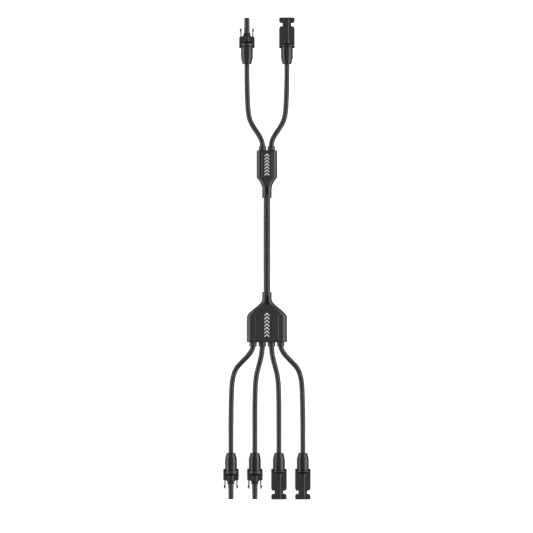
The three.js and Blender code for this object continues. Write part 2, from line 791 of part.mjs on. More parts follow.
const harness = new THREE.Group();
harness.add(
  connector('top_probe', 'probe', -SINGLE_X, 1),
  connector('top_socket', 'socket', SINGLE_X, 1),
  connector('branch_probe_1', 'probe', -BRANCH_OUTER_X, -1),
  connector('branch_probe_2', 'probe', -BRANCH_INNER_X, -1),
  connector('branch_socket_1', 'socket', BRANCH_INNER_X, -1),
  connector('branch_socket_2', 'socket', BRANCH_OUTER_X, -1),
  junctionPieces(topJunction, buttSplice),
  junctionPieces(branchJunction, pairSplice),
  lead('top_probe_cable', singleRoute, -1, 18),
  lead('top_socket_cable', singleRoute, 1, 18),
  lead('branch_probe_1_cable', outerRoute, -1, 22),
  lead('branch_probe_2_cable', innerRoute, -1, 20),
  lead('branch_socket_1_cable', innerRoute, 1, 20),
  lead('branch_socket_2_cable', outerRoute, 1, 22),
  piece('trunk_cable', tubeAlong(trunkRoute, TRUNK_R, 18), materials.jacket),
);

export default harness;
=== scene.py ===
import math
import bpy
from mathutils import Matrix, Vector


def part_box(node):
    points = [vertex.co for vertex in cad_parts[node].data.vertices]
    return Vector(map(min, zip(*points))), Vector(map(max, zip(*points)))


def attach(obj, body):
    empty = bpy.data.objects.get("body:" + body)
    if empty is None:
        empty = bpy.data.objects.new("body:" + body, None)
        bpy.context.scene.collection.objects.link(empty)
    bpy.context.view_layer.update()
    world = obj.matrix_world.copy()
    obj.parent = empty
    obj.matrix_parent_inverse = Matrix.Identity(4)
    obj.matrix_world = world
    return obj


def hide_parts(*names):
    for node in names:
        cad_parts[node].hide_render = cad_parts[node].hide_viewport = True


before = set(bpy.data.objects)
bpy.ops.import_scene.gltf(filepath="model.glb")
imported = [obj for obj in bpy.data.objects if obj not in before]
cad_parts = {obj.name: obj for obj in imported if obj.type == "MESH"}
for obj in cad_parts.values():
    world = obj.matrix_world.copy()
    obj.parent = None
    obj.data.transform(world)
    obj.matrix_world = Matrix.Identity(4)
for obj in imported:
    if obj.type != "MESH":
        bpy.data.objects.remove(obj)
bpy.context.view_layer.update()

from types import SimpleNamespace

import bpy
import bmesh
import numpy as np
import openvdb
from mathutils import Vector

# The moulded shapes are given as distance fields in millimetres, in each part's own frame, and meshed from
# those. Everything placed in the scene is in metres, in the frame of the CAD model.

MM = 0.001

CONNECTORS = {
    "top_probe": "probe",
    "top_socket": "socket",
    "branch_probe_1": "probe",
    "branch_probe_2": "probe",
    "branch_socket_1": "socket",
    "branch_socket_2": "socket",
}


# ---------------------------------------------------------------- camera

# What the picture spans at FRAME_HEIGHT above the plane that the object lies on, in metres
FRAME_WIDTH = 0.6507
FRAME_CENTRE_X = -0.0005
FRAME_CENTRE_Y = -0.0098
FRAME_HEIGHT = 0.006
LENS = 200.0
SENSOR = 36.0


def make_camera():
    data = bpy.data.cameras.new("camera")
    data.lens = LENS
    data.sensor_width = SENSOR
    data.clip_start = 0.05
    data.clip_end = 60.0
    camera = bpy.data.objects.new("camera", data)
    bpy.context.scene.collection.objects.link(camera)
    distance = FRAME_WIDTH / 2 / (SENSOR / 2 / LENS)
    camera.location = (FRAME_CENTRE_X, FRAME_CENTRE_Y, distance + FRAME_HEIGHT)
    bpy.context.scene.camera = camera


make_camera()


# ---------------------------------------------------------------- materials

def grey(level):
    return (level, level, level)


def shade(colour, times, plus=0.0):
    return tuple(c * times + plus for c in colour)


class Surface:
    """A material with one shader, whose texture nodes are added one by one."""

    def __init__(self, name):
        self.material = bpy.data.materials.new(name)
        self.material.use_nodes = True
        self.nodes = self.material.node_tree.nodes
        self.links = self.material.node_tree.links
        self.shader = self.nodes["Principled BSDF"].inputs
        self.place = self.nodes.new("ShaderNodeTexCoord").outputs["Object"]

    def noise(self, scale, detail, roughness, stretch=None):
        place = self.place
        if stretch:
            mapping = self.nodes.new("ShaderNodeMapping")
            mapping.inputs["Scale"].default_value = stretch
            self.links.new(place, mapping.inputs["Vector"])
            place = mapping.outputs["Vector"]
        node = self.nodes.new("ShaderNodeTexNoise")
        node.inputs["Scale"].default_value = scale
        node.inputs["Detail"].default_value = detail
        node.inputs["Roughness"].default_value = roughness
        self.links.new(place, node.inputs["Vector"])
        return node.outputs["Fac"]

    def ramp(self, value, low, high, dark, light):
        node = self.nodes.new("ShaderNodeValToRGB")
        for element, position, colour in zip(node.color_ramp.elements, (low, high), (dark, light)):
            element.position = position
            element.color = (*colour, 1.0)
        self.links.new(value, node.inputs["Fac"])
        return node.outputs["Color"]

    def blend(self, factor, a, b, mode="MIX"):
        node = self.nodes.new("ShaderNodeMix")
        node.data_type = "RGBA"
        node.blend_type = mode
        for value, socket in ((factor, node.inputs[0]), (a, node.inputs[6]), (b, node.inputs[7])):
            if isinstance(value, bpy.types.NodeSocket):
                self.links.new(value, socket)
            elif isinstance(value, float):
                socket.default_value = value
            else:
                socket.default_value = (*value, 1.0)
        return node.outputs[2]

    def multiply(self, a, b):
        return self.blend(1.0, a, b, "MULTIPLY")

    def bump(self, height, distance, strength, before=None):
        node = self.nodes.new("ShaderNodeBump")
        node.inputs["Distance"].default_value = distance
        node.inputs["Strength"].default_value = strength
        self.links.new(height, node.inputs["Height"])
        if before:
            self.links.new(before, node.inputs["Normal"])
        return node.outputs["Normal"]

    def finish(self, colour, roughness, normal):
        self.links.new(colour, self.shader["Base Color"])
        self.links.new(roughness, self.shader["Roughness"])
        self.links.new(normal, self.shader["Normal"])
        return self.material


def moulded(name, colour, rough, grain=1.0):
    """Moulded plastic: a fine spark-eroded grain, broad flow marks and edges rubbed lighter in patches."""
    surface = Surface(name)
    flow = surface.noise(scale=90.0, detail=4.0, roughness=0.6)
    fine = surface.noise(scale=5200.0, detail=2.0, roughness=0.5)
    coarse = surface.noise(scale=1500.0, detail=3.0, roughness=0.6)
    base = surface.ramp(flow, 0.32, 0.7, shade(colour, 0.84), shade(colour, 1.14))
    speckle = surface.ramp(fine, 0.38, 0.66, grey(0.86), grey(1.12))
    base = surface.multiply(base, speckle)
    pointiness = surface.nodes.new("ShaderNodeNewGeometry").outputs["Pointiness"]
    edges = surface.ramp(pointiness, 0.52, 0.6, grey(0.0), grey(1.0))
    patches = surface.ramp(coarse, 0.42, 0.62, grey(0.0), grey(0.35))
    rubbed = surface.multiply(edges, patches)
    base = surface.blend(rubbed, base, shade(colour, 1.9, plus=0.01))
    roughness = surface.ramp(coarse, 0.3, 0.72, grey(rough - 0.05), grey(rough + 0.06))
    normal = surface.bump(fine, distance=0.00003, strength=0.22 * grain)
    normal = surface.bump(flow, distance=0.0002, strength=0.05 * grain, before=normal)
    surface.shader["IOR"].default_value = 1.5
    return surface.finish(base, roughness, normal)


def extruded(name, colour, rough):
    """A cable jacket: matt, with faint draw lines along the cable and small scuffs."""
    surface = Surface(name)
    lines = surface.noise(scale=2600.0, detail=3.0, roughness=0.6, stretch=(1.0, 0.04, 1.0))
    patches = surface.noise(scale=140.0, detail=4.0, roughness=0.6)
    fine = surface.noise(scale=4200.0, detail=2.0, roughness=0.5)
    base = surface.ramp(patches, 0.32, 0.7, shade(colour, 0.82), shade(colour, 1.16))
    streaks = surface.ramp(lines, 0.35, 0.68, grey(0.88), grey(1.1))
    base = surface.multiply(base, streaks)
    roughness = surface.ramp(patches, 0.3, 0.7, grey(rough - 0.05), grey(rough + 0.07))
    normal = surface.bump(lines, distance=0.00003, strength=0.2)
    normal = surface.bump(fine, distance=0.00002, strength=0.2, before=normal)
    surface.shader["IOR"].default_value = 1.48
    return surface.finish(base, roughness, normal)


def rubber(name, colour):
    """Rubber: soft and very matt, with a bloom in patches."""
    surface = Surface(name)
    bloom = surface.noise(scale=700.0, detail=4.0, roughness=0.65)
    fine = surface.noise(scale=6000.0, detail=2.0, roughness=0.5)
    base = surface.ramp(bloom, 0.35, 0.75, colour, shade(colour, 1.7, plus=0.004))
    roughness = surface.ramp(bloom, 0.3, 0.7, grey(0.56), grey(0.72))
    return surface.finish(base, roughness, surface.bump(fine, distance=0.00002, strength=0.3))


def plated(name, colour):
    """Tin-plated copper: bright, with turning rings and dull oxide patches."""
    surface = Surface(name)
    rings = surface.noise(scale=3000.0, detail=2.0, roughness=0.5, stretch=(0.02, 1.0, 0.02))
    oxide = surface.noise(scale=500.0, detail=5.0, roughness=0.65)
    base = surface.ramp(oxide, 0.4, 0.75, colour, shade(colour, 0.72))
    roughness = surface.ramp(oxide, 0.35, 0.75, grey(0.2), grey(0.42))
    surface.shader["Metallic"].default_value = 1.0
    return surface.finish(base, roughness, surface.bump(rings, distance=0.00002, strength=0.25))


def printed(name, colour):
    """Pad-printed ink: slightly uneven, thinner in places."""
    surface = Surface(name)
    cover = surface.noise(scale=1800.0, detail=4.0, roughness=0.6)
    base = surface.ramp(cover, 0.3, 0.55, shade(colour, 0.82), colour)
    roughness = surface.ramp(cover, 0.3, 0.7, grey(0.5), grey(0.62))
    return surface.finish(base, roughness, surface.bump(cover, distance=0.00001, strength=0.3))


MATERIALS = {
    "housing": moulded("housing_plastic", (0.026, 0.028, 0.031), rough=0.34),
    "latch": moulded("latch_plastic", (0.028, 0.030, 0.033), rough=0.33),
    "nut": moulded("nut_plastic", (0.018, 0.0195, 0.021), rough=0.26, grain=0.8),
    "junction": moulded("junction_plastic", (0.028, 0.030, 0.033), rough=0.33),
    "jacket": extruded("cable_jacket", (0.024, 0.026, 0.028), rough=0.34),
    "seal": rubber("seal_rubber", (0.010, 0.010, 0.011)),
    "collet": moulded("collet_plastic", (0.085, 0.088, 0.092), rough=0.45),
    "contact": plated("tinned_copper", (0.78, 0.77, 0.75)),
    "carrier": moulded("carrier_plastic", (0.12, 0.125, 0.13), rough=0.5),
    "mark": printed("printed_mark", (0.86, 0.87, 0.88)),
}


# ---------------------------------------------------------------- junction and cable sizes

# The height of the connectors' and the branch junction's axes, and of the top junction's
AXIS = 7.35
TOP_AXIS = 6.3

# Each junction along v, the distance from the harness's middle: a round neck for the trunk cable, a flare, a
# body with a raised panel, and a boss for each lead. soft is true where the flare also ends in a soft curve.
# A slot goes through the neck's wall, and a hollow holds the splices.
TOP = SimpleNamespace(
    name="top_junction", towards=1, axis=TOP_AXIS, half_w=12.6, soft=False,
    neck=73.9, flare_from=84.0, flare_to=98.6, body_end=132.0, boss_end=137.3, boss_x=(-5.4, 5.4),
    slot_r=1.5, slot_from=78.0, slot_to=88.0,
    hollow_w=9.0, hollow_t=4.2, hollow_from=100.0, hollow_to=128.0,
    panel_w=6.3, panel_from=99.0)
BRANCH = SimpleNamespace(
    name="branch_junction", towards=-1, axis=AXIS, half_w=24.6, soft=True,
    neck=40.9, flare_from=49.5, flare_to=72.0, body_end=102.2, boss_end=107.5,
    boss_x=(-16.9, -5.6, 5.6, 16.9),
    slot_r=2.1, slot_from=45.0, slot_to=56.5,
    hollow_w=20.5, hollow_t=5.0, hollow_from=72.5, hollow_to=98.0,
    panel_w=14.0, panel_from=70.0)

LEAD_R = 3.1
TRUNK_R = 4.1
LIE_GAP = 0.03
LEAD_FLOOR = LEAD_R + LIE_GAP
TRUNK_FLOOR = TRUNK_R + LIE_GAP
LEAD_END = 259.1

# The routes on the +x side. A lead's runs from its end in the junction to its end in the connector, and the
# trunk cable's from the top junction to the branch junction.
SINGLE_ROUTE = [
    (5.4, 126, TOP_AXIS), (5.4, 132, TOP_AXIS), (5.4, 137.3, TOP_AXIS), (6.0, 142, 6.1), (8.1, 147.5, 5.4),
    (11.6, 153.4, 4.5), (15.6, 159.4, 3.65), (19.1, 165.4, 3.25), (21.5, 172, LEAD_FLOOR),
    (22.8, 180, LEAD_FLOOR), (23.5, 190, LEAD_FLOOR), (23.9, 199, 3.3), (24.15, 208, 4.2), (24.3, 217, 6.0),
    (24.4, 224.5, 7.1), (24.4, 231, AXIS), (24.4, 240, AXIS), (24.4, 250, AXIS), (24.4, LEAD_END, AXIS),
]
INNER_ROUTE = [
    (5.6, -96.5, AXIS), (5.6, -102, AXIS), (5.6, -107.5, AXIS), (6.1, -113, 7.25), (7.0, -119.5, 6.6),
    (8.6, -126.5, 5.45), (10.6, -134, 4.2), (12.5, -142, 3.45), (13.7, -151, LEAD_FLOOR),
    (14.3, -163, LEAD_FLOOR), (14.6, -178, LEAD_FLOOR), (14.7, -192, 3.25), (14.7, -202, 3.7),
    (14.7, -211, 5.1), (14.7, -220, 6.8), (14.7, -228, AXIS), (14.7, -238, AXIS), (14.7, -249, AXIS),
    (14.7, -LEAD_END, AXIS),
]
OUTER_ROUTE = [
    (16.9, -96.5, AXIS), (16.9, -102, AXIS), (16.9, -107, AXIS), (18.3, -111.6, 7.3), (21.6, -116.8, 6.95),
    (26.0, -121.8, 6.3), (31.2, -127.1, 5.4), (35.9, -132.4, 4.5), (39.3, -138.5, 3.75), (41.5, -146, 3.35),
    (42.7, -155, LEAD_FLOOR), (43.3, -168, LEAD_FLOOR), (43.7, -181, LEAD_FLOOR), (43.8, -192, 3.25),
    (43.9, -202, 3.7), (43.9, -211, 5.1), (43.9, -220, 6.8), (43.9, -228, AXIS), (43.9, -238, AXIS),
    (43.9, -249, AXIS), (43.9, -LEAD_END, AXIS),
]
TRUNK_ROUTE = [
    (0, 99.8, TOP_AXIS), (0, 90, TOP_AXIS), (0, 80, TOP_AXIS), (0, 72, TOP_AXIS), (0, 64, 5.9), (0, 55, 4.9),
    (0, 46, 4.4), (0, 36, TRUNK_FLOOR), (0, 24, TRUNK_FLOOR), (0, 12, TRUNK_FLOOR), (0, 0, TRUNK_FLOOR),
    (0, -9, 4.45), (0, -18, 5.1), (0, -27, 6.4), (0, -35, 7.2), (0, -42, AXIS), (0, -52, AXIS),
    (0, -62, AXIS), (0, -72.8, AXIS),
]


# ---------------------------------------------------------------- cables

def smooth_line(points, steps=12):
    """A centripetal Catmull-Rom curve through the points, with steps places on each stretch."""
    points = np.array(points, float)
    ends = [2 * points[0] - points[1], *points, 2 * points[-1] - points[-2]]
    line = []
    for a, b, c, d in zip(ends, ends[1:], ends[2:], ends[3:]):
        knots = np.cumsum([0.0] + [np.linalg.norm(q - p) ** 0.5 for p, q in ((a, b), (b, c), (c, d))])
        for t in np.linspace(knots[1], knots[2], steps, endpoint=False):
            def between(p, q, i, j):
                return ((knots[j] - t) * p + (t - knots[i]) * q) / (knots[j] - knots[i])
            first, second, third = between(a, b, 0, 1), between(b, c, 1, 2), between(c, d, 2, 3)
            line.append(between(between(first, second, 0, 2), between(second, third, 1, 3), 1, 2))
    return np.array([*line, points[-1]])


def cable(name, route, side, radius):
    line = smooth_line([(side * x, y, z) for x, y, z in route]) * MM
    data = bpy.data.curves.new(name + "_jacket", "CURVE")
    data.dimensions = "3D"
    data.bevel_depth = radius * MM
    data.bevel_resolution = 8
    data.use_fill_caps = True
    spline = data.splines.new("POLY")
    spline.points.add(len(line) - 1)
    for point, place in zip(spline.points, line):
        point.co = (*place, 1.0)
    spline.use_smooth = True
    data.materials.append(MATERIALS["jacket"])
    piece = bpy.data.objects.new(name + "_jacket", data)
    bpy.context.scene.collection.objects.link(piece)
    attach(piece, "harness")
    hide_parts(name)


cable("top_probe_cable", SINGLE_ROUTE, -1, LEAD_R)
cable("top_socket_cable", SINGLE_ROUTE, 1, LEAD_R)
cable("branch_probe_1_cable", OUTER_ROUTE, -1, LEAD_R)
cable("branch_probe_2_cable", INNER_ROUTE, -1, LEAD_R)
cable("branch_socket_1_cable", INNER_ROUTE, 1, LEAD_R)
cable("branch_socket_2_cable", OUTER_ROUTE, 1, LEAD_R)
cable("trunk_cable", TRUNK_ROUTE, 1, TRUNK_R)


# ---------------------------------------------------------------- distance fields

def smin(a, b, fillet):
    """Either of two solids, with a fillet where they meet."""
    h = np.maximum(fillet - np.abs(a - b), 0.0) / fillet
    return np.minimum(a, b) - h * h * fillet / 4


def smax(a, b, fillet):
    """What two solids share, with the edge where they meet softened."""
    return -smin(-a, -b, fillet)


def rounded(sides, edge):
    """The solid inside every side, with its edges rounded to the radius edge."""
    shifted = [s + edge for s in sides]
    outside = np.sqrt(sum(np.maximum(s, 0.0) ** 2 for s in shifted))
    deepest = shifted[0]
    for s in shifted[1:]:
        deepest = np.maximum(deepest, s)
    return outside + np.minimum(deepest, 0.0) - edge


def slab(v, low, high):
    return np.abs(v - (low + high) / 2) - (high - low) / 2


def block(x, u, z, half_w, half_t, front, rear, edge):
    return rounded([np.abs(x) - half_w, np.abs(z) - half_t, slab(u, front, rear)], edge)


def rod(rho, u, r, front, rear, edge):
    return rounded([rho - r, slab(u, front, rear)], edge)


def sloped(value, slope):
    """A side that leans: value changes by 1 one way and by slope the other, and becomes a distance."""
    return value / math.hypot(1.0, slope)


def through(u, points):
    """The value at u on straight lines through the points (u, value)."""
    return np.interp(u, [p[0] for p in points], [p[1] for p in points])


# ---------------------------------------------------------------- housings

# In a connector's own frame u runs back from its tip along its axis, x across and z up. Cuts that open at a
# face go PAST it.
PAST = 4.0
PLATE_HALF_W = 9.45
PLATE_HALF_T = 4.5
PLATE_REAR_U = 36.9
PLATE_EDGE = 0.6
CORE_R = 5.25
FLARE_R = 6.1
RING_R = 7.35
RING_REAR_U = 35.1
NUT_ROOM_R = 7.85
RING_LAP = 0.6
NUT_ROOM_REAR_U = 50.0
CONTACT_BORE_R = 2.75
CABLE_BORE_R = 3.4
CABLE_BORE_REAR_U = 40.0
SEAL_SEAT_R = 4.8
SEAL_SEAT_U = 37.0
SEAL_SEAT_REAR_U = 46.0

# The recess in front of the ring is an arch seen from above, and its floor sinks towards the ring
ARCH_R = 11.4
ARCH_DEPTH = 2.4
ARCH_FLOOR_Z = 3.05
ARCH_FLOOR_SLOPE = 0.42

SLEEVE_R = 5.28
SLEEVE_FRONT_U = 34.4
SLEEVE_REAR_U = 44.0
THREAD_PITCH = 1.5
THREAD_HEIGHT = 0.336
# Half of the crest's width, and of the thread's width at its root, as shares of the pitch
CREST_HALF = 0.1548
ROOT_HALF = 0.3452
THREAD_FADE = [(35.9, 0.0), (36.4, 1.0), (42.6, 1.0), (43.4, 0.0)]


def sleeve(x, u, z, rho):
    """The threaded sleeve, whose crest winds round it once for each pitch."""
    turn = np.arctan2(z, x) / (2 * math.pi)
    off_crest = np.abs((u / THREAD_PITCH - turn) % 1.0 - 0.5)
    crest = through(off_crest, [(CREST_HALF, THREAD_HEIGHT), (ROOT_HALF, 0.0)]) * through(u, THREAD_FADE)
    return rounded([rho - SLEEVE_R - crest, slab(u, SLEEVE_FRONT_U, SLEEVE_REAR_U)], edge=0.3)


def rear(front, x, u, z, rho, ring_front, bore_front):
    """Adds what both housings share behind their fronts: arched recess, ring, sleeve and bore."""
    room = rod(rho, u, NUT_ROOM_R, RING_REAR_U, NUT_ROOM_REAR_U, edge=0.3)
    body = smax(front, -room, fillet=0.4)
    ring = rod(rho, u, RING_R, ring_front - RING_LAP, RING_REAR_U, edge=0.5)
    body = smin(body, ring, fillet=1.1)
    round_side = np.hypot(x, u - (ring_front - ARCH_DEPTH + ARCH_R)) - ARCH_R
    floor = sloped(ARCH_FLOOR_Z + ARCH_FLOOR_SLOPE * (ring_front - u) - np.abs(z), ARCH_FLOOR_SLOPE)
    arch = rounded([round_side, u - ring_front, floor], edge=0.15)
    body = smax(body, -arch, fillet=0.35)
    body = smin(body, sleeve(x, u, z, rho), fillet=0.3)
    bore = rod(rho, u, CONTACT_BORE_R, bore_front, CABLE_BORE_REAR_U, edge=0.1)
    bore = np.minimum(bore, rod(rho, u, CABLE_BORE_R, SLEEVE_FRONT_U, CABLE_BORE_REAR_U, edge=0.1))
    bore = np.minimum(bore, rod(rho, u, SEAL_SEAT_R, SEAL_SEAT_U, SEAL_SEAT_REAR_U, edge=0.1))
    return smax(body, -bore, fillet=0.3)


PROBE_RING_FRONT_U = 31.4
PROBE_NOSE = [(0, 3.22), (18, 3.4), (23, 3.5)]
PROBE_NOSE_REAR_U = 30.0
PROBE_SHOULDER_FRONT_U = 21.1
PROBE_SHOULDER = [(PROBE_SHOULDER_FRONT_U, 4.35), (22.7, 5.25), (27.0, 5.3), (PROBE_RING_FRONT_U, FLARE_R)]
PROBE_SHOULDER_REAR_U = 32.0
PROBE_BORE_U = 1.5
PROBE_MOUTH_R = 2.3
PROBE_MOUTH_REAR_U = 3.0
COLLAR_U = 23.0
COLLAR_CHAMFER = 1.2
POCKET_INNER_X = 5.95
POCKET_OUTER_X = 8.3
POCKET_HALF_T = 2.9
POCKET_FRONT_U = 21.0
POCKET_REAR_U = 26.5


def probe_housing(x, u, z):
    rho = np.hypot(x, z)
    nose = rounded([rho - through(u, PROBE_NOSE), slab(u, 0.0, PROBE_NOSE_REAR_U)], edge=0.45)
    shoulder = rounded([rho - through(u, PROBE_SHOULDER),
                        slab(u, PROBE_SHOULDER_FRONT_U, PROBE_SHOULDER_REAR_U)], edge=0.4)
    chamfer = sloped(np.abs(x) - (PLATE_HALF_W - COLLAR_CHAMFER) - (u - COLLAR_U), 1.0)
    plate = rounded([np.abs(x) - PLATE_HALF_W, np.abs(z) - PLATE_HALF_T, slab(u, COLLAR_U, PLATE_REAR_U),
                     chamfer], PLATE_EDGE)
    front = smin(smin(nose, shoulder, fillet=0.5), plate, fillet=0.15)
    pocket = rounded([slab(np.abs(x), POCKET_INNER_X, POCKET_OUTER_X), np.abs(z) - POCKET_HALF_T,
                      slab(u, POCKET_FRONT_U, POCKET_REAR_U)], edge=0.25)
    front = smax(front, -pocket, fillet=0.35)
    body = rear(front, x, u, z, rho, PROBE_RING_FRONT_U, PROBE_BORE_U)
    mouth = rod(rho, u, PROBE_MOUTH_R, -PAST, PROBE_MOUTH_REAR_U, edge=0.1)
    return smax(body, -mouth, fillet=0.4)


SOCKET_RING_FRONT_U = 33.5
SOCKET_CORE = [(0, CORE_R), (27.1, CORE_R), (SOCKET_RING_FRONT_U, FLARE_R)]
SOCKET_CORE_REAR_U = 34.0
CROSSBAR_HALF_W = 9.4
CROSSBAR_REAR_U = 6.3
NOTCH_REAR_U = 10.65
CORNER_W = 1.5
BODY_CORNER_SLOPE = 0.65
CHANNEL_INNER_X = 5.5
CHANNEL_OUTER_X = 8.2
CHANNEL_HALF_T = 3.0
CHANNEL_REAR_U = 8.0
SOCKET_MOUTH_R = 4.55
SOCKET_MOUTH_REAR_U = 6.0
SOCKET_BORE_R = 3.45
SOCKET_BORE_REAR_U = 24.0
SOCKET_CONTACT_BORE_U = 23.0


def socket_housing(x, u, z):
    rho = np.hypot(x, z)
    core = rounded([rho - through(u, SOCKET_CORE), slab(u, 0.0, SOCKET_CORE_REAR_U)], edge=0.5)
    crossbar = block(x, u, z, CROSSBAR_HALF_W, PLATE_HALF_T, 0.0, CROSSBAR_REAR_U, edge=0.55)
    corner = sloped(np.abs(x) - (CROSSBAR_HALF_W - CORNER_W) + (u - CROSSBAR_REAR_U), 1.0)
    crossbar = smax(crossbar, corner, fillet=0.9)
    body = block(x, u, z, PLATE_HALF_W, PLATE_HALF_T, NOTCH_REAR_U, PLATE_REAR_U, PLATE_EDGE)
    corner = sloped(np.abs(x) - (PLATE_HALF_W - CORNER_W) - (u - NOTCH_REAR_U) * BODY_CORNER_SLOPE,
                    BODY_CORNER_SLOPE)
    body = smax(body, corner, fillet=0.5)
    bridge = block(x, u, z, CORE_R, PLATE_HALF_T, 0.0, SOCKET_CORE_REAR_U, edge=0.4)
    front = smin(smin(crossbar, body, fillet=0.3), bridge, fillet=0.5)
    front = smin(front, core, fillet=0.12)
    channel = rounded([slab(np.abs(x), CHANNEL_INNER_X, CHANNEL_OUTER_X), np.abs(z) - CHANNEL_HALF_T,
                       slab(u, -PAST, CHANNEL_REAR_U)], edge=0.25)
    front = smax(front, -channel, fillet=0.3)
    mouth = rod(rho, u, SOCKET_MOUTH_R, -PAST, SOCKET_MOUTH_REAR_U, edge=0.3)
    bore = rod(rho, u, SOCKET_BORE_R, -PAST, SOCKET_BORE_REAR_U, edge=0.2)
    front = smax(front, -smin(mouth, bore, fillet=0.4), fillet=0.35)
    return rear(front, x, u, z, rho, SOCKET_RING_FRONT_U, SOCKET_CONTACT_BORE_U)


LATCH_TIP_U = 12.5
LATCH_LEAF_U = 12.9
LATCH_HOOK_U = 16.5
LATCH_ROOT_U = 26.2
LATCH_INNER_X = 6.5
LATCH_OUTER_X = 8.0
LATCH_HOOK_X = 9.0
LATCH_HALF_T = 2.6
LATCH_TIP_X = 7.35
LATCH_RAMP_SLOPE = 0.61
LATCH_LEAD_U = 13.2
LATCH_LEAD_SLOPE = 0.6


def latch_finger(x, u, z):
    """One latch finger, on the +x side: a leaf with a hook that points outwards."""
    leaf = rounded([slab(x, LATCH_INNER_X, LATCH_OUTER_X), np.abs(z) - LATCH_HALF_T,
                    slab(u, LATCH_LEAF_U, LATCH_ROOT_U)], edge=0.3)
    hook = rounded([slab(x, LATCH_INNER_X, LATCH_HOOK_X), np.abs(z) - LATCH_HALF_T,
                    slab(u, LATCH_TIP_U, LATCH_HOOK_U)], edge=0.25)
    hook_ramp = sloped(x - LATCH_TIP_X - (u - LATCH_TIP_U) * LATCH_RAMP_SLOPE, LATCH_RAMP_SLOPE)
    hook = smax(hook, hook_ramp, fillet=0.4)
    lead_in = sloped(LATCH_INNER_X - x + (LATCH_LEAD_U - u) * LATCH_LEAD_SLOPE, LATCH_LEAD_SLOPE)
    tip = smax(hook_ramp, lead_in, fillet=0.3)
    return smax(smin(leaf, hook, fillet=0.3), tip, fillet=0.3)


# ---------------------------------------------------------------- junction bodies

NECK_R = 5.85
SIDE_FLAT = 0.02
FLARE_LEAN = 0.3
BOSS_R = 4.5
BOSS_ROOT = 4.0
PANEL_HEIGHT = 0.4
PANEL_END_GAP = 2.6
PANEL_RAMP_W = 0.6
PANEL_RAMP_SLOPE = 1.5
SLOT_FLOOR_Z = 2.0
BORE_LAP = 2.0
TRUNK_BORE_R = TRUNK_R + 0.05
LEAD_BORE_R = LEAD_R + 0.07


def junction_section(j, x, v, z):
    """The section along a junction: a circle at the neck that widens into a flat shape with round sides."""
    along = np.clip((v - j.flare_from) / (j.flare_to - j.flare_from), 0.0, 1.0)
    widening = along * along * (3 - 2 * along) if j.soft else along * along
    half_w = NECK_R + (j.half_w - NECK_R) * widening
    half_t = NECK_R + (j.axis - PANEL_HEIGHT - NECK_R) * widening
    radius = half_t - SIDE_FLAT
    qx, qz = np.abs(x) - half_w + radius, np.abs(z) - half_t + radius
    section = np.hypot(np.maximum(qx, 0), np.maximum(qz, 0)) + np.minimum(np.maximum(qx, qz), 0) - radius
    # The flare's sides lean, so the section there overstates the distance
    return section * (1.0 - FLARE_LEAN * np.sin(math.pi * along) ** 2)


def junction_panel(j, x, v, z):
    ramp = np.abs(x) - j.panel_w + (np.abs(z) - j.axis + PANEL_HEIGHT / 2) * PANEL_RAMP_SLOPE
    sides = [sloped(ramp, PANEL_RAMP_SLOPE), np.abs(x) - j.panel_w - PANEL_RAMP_W, np.abs(z) - j.axis,
             slab(v, j.panel_from, j.body_end - PANEL_END_GAP)]
    return rounded(sides, edge=0.12)


def junction_cuts(j, shell, x, v, z):
    """Cuts the neck's slot, the hollow and the cables' bores."""
    middle = np.clip(v, j.slot_from + j.slot_r, j.slot_to - j.slot_r)
    slot = rounded([np.hypot(x, v - middle) - j.slot_r, SLOT_FLOOR_Z - np.abs(z)], edge=0.1)
    shell = smax(shell, -slot, fillet=0.5)
    hollow = block(x, v, z, j.hollow_w, j.hollow_t, j.hollow_from, j.hollow_to, edge=0.3)
    shell = np.maximum(shell, -hollow)
    trunk = rod(np.hypot(x, z), v, TRUNK_BORE_R, j.neck - PAST, j.hollow_from + BORE_LAP, edge=0.2)
    shell = smax(shell, -trunk, fillet=0.5)
    for boss_x in j.boss_x:
        lead = rod(np.hypot(x - boss_x, z), v, LEAD_BORE_R, j.hollow_to - BORE_LAP, j.boss_end + PAST,
                   edge=0.2)
        shell = smax(shell, -lead, fillet=0.45)
    return shell


def junction_field(j):
    def field(x, v, z):
        section = junction_section(j, x, v, z)
        body_end = rounded([section, v - j.body_end], edge=1.35)
        neck_end = rounded([section, j.neck - v], edge=0.6)
        shell = smin(np.maximum(body_end, neck_end), junction_panel(j, x, v, z), fillet=0.2)
        for boss_x in j.boss_x:
            boss = rod(np.hypot(x - boss_x, z), v, BOSS_R, j.body_end - BOSS_ROOT, j.boss_end, edge=1.0)
            shell = smin(shell, boss, fillet=0.2)
        return junction_cuts(j, shell, x, v, z)
    return field


# ---------------------------------------------------------------- meshes from distance fields

# How far from the surface the field is kept, in millimetres, and how many layers of it are worked out at once
FIELD_REACH = 3.0
LAYERS_AT_ONCE = 24
FACES_KEPT = 0.3
FLATTEST_SLOPE = 0.2
LONGEST_MOVE = 0.15


def gradient(field, p, step=0.03):
    columns = []
    for axis in range(3):
        shift = np.zeros(3)
        shift[axis] = step
        columns.append(field(*(p + shift).T) - field(*(p - shift).T))
    return np.stack(columns, 1) / (2 * step)


def settle(field, p, times=3):
    """Moves points onto the field's surface."""
    for _ in range(times):
        slope = gradient(field, p)
        size = np.maximum((slope ** 2).sum(1), FLATTEST_SLOPE ** 2)
        move = -(field(*p.T) / size)[:, None] * slope
        length = np.linalg.norm(move, axis=1)
        p = p + move * np.minimum(1.0, LONGEST_MOVE / np.maximum(length, 1e-9))[:, None]
    return p


